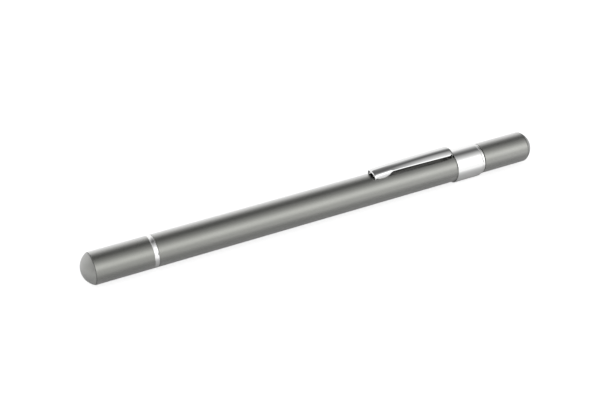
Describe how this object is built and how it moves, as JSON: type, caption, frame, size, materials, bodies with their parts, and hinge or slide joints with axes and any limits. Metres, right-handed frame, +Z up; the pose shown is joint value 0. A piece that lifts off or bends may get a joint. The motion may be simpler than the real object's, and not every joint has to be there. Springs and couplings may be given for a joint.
{
  "type": "ballpoint pen",
  "caption": "Slim satin gunmetal ballpoint pen with rounded ends, bright rings and collar, a sprung pocket clip, a pull-off front cap and a screw-in tail.",
  "frame": {"origin": "middle of the pen's length and width, at the level of the collar's lowest line, which is what the pen lies on", "axes": "+X along the pen from the writing end to the tail, +Z up through the clip, +Y across"},
  "size_m": [0.141, 0.0098, 0.0116],
  "materials": {
    "gunmetal": "satin gunmetal lacquer on drawn tube",
    "end_plug": "matte grey, finely blasted",
    "tail_plug": "satin gunmetal lacquer",
    "bright_trim": "polished plating on bent sheet",
    "polished_trim": "polished plating on turned rings",
    "nose_steel": "turned, satin",
    "liner": "moulded",
    "rubber": "soft, matt",
    "brass": "turned",
    "ball": "ground and polished",
    "refill_steel": "drawn tube",
    "refill_plastic": "moulded",
    "ink": "thick blue ink",
    "spring_steel": "spring wire"
  },
  "bodies": {
    "barrel": {"barrel_tube": "gunmetal", "front_bush": "brass", "nose_section": "nose_steel", "nose_grip_ring": "rubber", "refill_point": "brass", "refill_tube": "refill_steel", "ink_column": "ink", "refill_plug": "refill_plastic", "refill_spring": "spring_steel", "rear_bush": "brass", "clip_collar": "polished_trim"},
    "front_cap": {"cap_dome": "end_plug", "cap_sleeve": "gunmetal", "cap_ring": "polished_trim", "cap_liner": "liner"},
    "writing_ball": {"point_ball": "ball"},
    "clip": {"clip": "bright_trim"},
    "rear_ring": {"rear_ring": "polished_trim"},
    "tail": {"tail_sleeve": "gunmetal", "tail_dome": "tail_plug", "tail_stud": "brass"}
  },
  "joints": [
    {"name": "cap_pull", "type": "slide", "parent": "barrel", "child": "front_cap", "axis": [-1, 0, 0], "range_m": [0, 0.02]},
    {"name": "clip_flex", "type": "hinge", "parent": "barrel", "child": "clip", "pos_m": [0.04355, 0, 0.009], "axis": [0, 1, 0], "range_deg": [0, 6], "stiffness_Nm_per_rad": 1},
    {"name": "ball_roll", "type": "hinge", "parent": "barrel", "child": "writing_ball", "pos_m": [-0.06475, 0, 0.0049], "axis": [0, 1, 0], "continuous": true},
    {"name": "tail_travel", "type": "slide", "parent": "barrel", "child": "rear_ring", "axis": [1, 0, 0], "range_m": [0, 0.004]},
    {"name": "tail_turn", "type": "hinge", "parent": "rear_ring", "child": "tail", "pos_m": [0.05955, 0, 0.0049], "axis": [1, 0, 0], "range_deg": [0, 2880]}
  ],
  "couplings": [
    {"joint": "tail_turn", "follows": "tail_travel", "rad_per_m": 12566}
  ]
}
